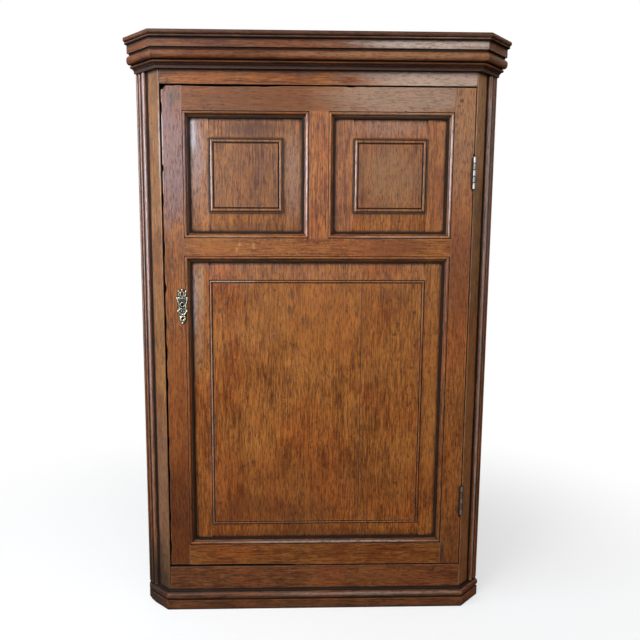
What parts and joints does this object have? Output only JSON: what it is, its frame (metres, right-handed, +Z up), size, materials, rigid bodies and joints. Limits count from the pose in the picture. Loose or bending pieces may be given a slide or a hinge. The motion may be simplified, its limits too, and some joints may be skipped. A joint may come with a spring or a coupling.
{
  "type": "corner cupboard",
  "caption": "Hanging corner cupboard with canted sides, a hinged panelled door with a lock and pierced keyhole plate, a moulded cornice, and shelves inside.",
  "frame": {"origin": "on the underside, in the middle of the overall width and depth", "axes": "+X to the right across the front, +Y from the front to the room corner, +Z up"},
  "size_m": [0.7432, 0.427, 1.138],
  "materials": {
    "oak_frame": "old waxed oak, satin",
    "oak_panel": "old waxed oak, satin",
    "oak_moulding": "dark waxed oak, satin",
    "oak_carcase": "old waxed oak, satin",
    "oak_inside": "bare oak, dry and matt",
    "brass": "old lacquered brass, dulled",
    "iron": "dark iron"
  },
  "bodies": {
    "carcase": {"left_post": "oak_carcase", "right_post": "oak_carcase", "bottom_rail": "oak_carcase", "frieze_rail": "oak_carcase", "cornice_front": "oak_moulding", "cornice_left_return": "oak_moulding", "cornice_right_return": "oak_moulding", "base_moulding_front": "oak_moulding", "base_moulding_left_return": "oak_moulding", "base_moulding_right_return": "oak_moulding", "left_reeded_moulding": "oak_moulding", "right_reeded_moulding": "oak_moulding", "top_board": "oak_inside", "bottom_board": "oak_inside", "lower_shelf": "oak_inside", "upper_shelf": "oak_inside", "door_stop": "oak_inside", "left_back_board_1": "oak_inside", "left_back_board_2": "oak_inside", "left_back_board_3": "oak_inside", "right_back_board_1": "oak_inside", "right_back_board_2": "oak_inside", "right_back_board_3": "oak_inside", "lower_left_bearer": "oak_inside", "lower_right_bearer": "oak_inside", "upper_left_bearer": "oak_inside", "upper_right_bearer": "oak_inside", "upper_hinge_frame_leaf": "brass", "lower_hinge_frame_leaf": "brass", "upper_hinge_pin": "brass", "lower_hinge_pin": "brass", "upper_hinge_frame_screw_1": "iron", "upper_hinge_frame_screw_2": "iron", "upper_hinge_frame_screw_3": "iron", "lower_hinge_frame_screw_1": "iron", "lower_hinge_frame_screw_2": "iron", "lower_hinge_frame_screw_3": "iron"},
    "door": {"lock_stile": "oak_frame", "hinge_stile": "oak_frame", "door_top_rail": "oak_frame", "door_mid_rail": "oak_frame", "door_bottom_rail": "oak_frame", "muntin": "oak_frame", "top_rail_peg": "oak_frame", "upper_left_panel": "oak_panel", "upper_right_panel": "oak_panel", "lower_panel_left_board": "oak_panel", "lower_panel_right_board": "oak_panel", "upper_hinge_door_leaf": "brass", "lower_hinge_door_leaf": "brass", "upper_hinge_door_screw_1": "iron", "upper_hinge_door_screw_2": "iron", "upper_hinge_door_screw_3": "iron", "lower_hinge_door_screw_1": "iron", "lower_hinge_door_screw_2": "iron", "lower_hinge_door_screw_3": "iron", "escutcheon": "brass", "lock_case": "iron"},
    "lock_bolt": {"lock_bolt": "iron"}
  },
  "joints": [
    {"name": "door_hinge", "type": "hinge", "parent": "carcase", "child": "door", "pos_m": [0.3, -0.1852, 0.56], "axis": [0, 0, 1], "range_deg": [0, 135]},
    {"name": "bolt_slide", "type": "slide", "parent": "door", "child": "lock_bolt", "axis": [-1, 0, 0], "range_m": [0, 0.008]}
  ]
}
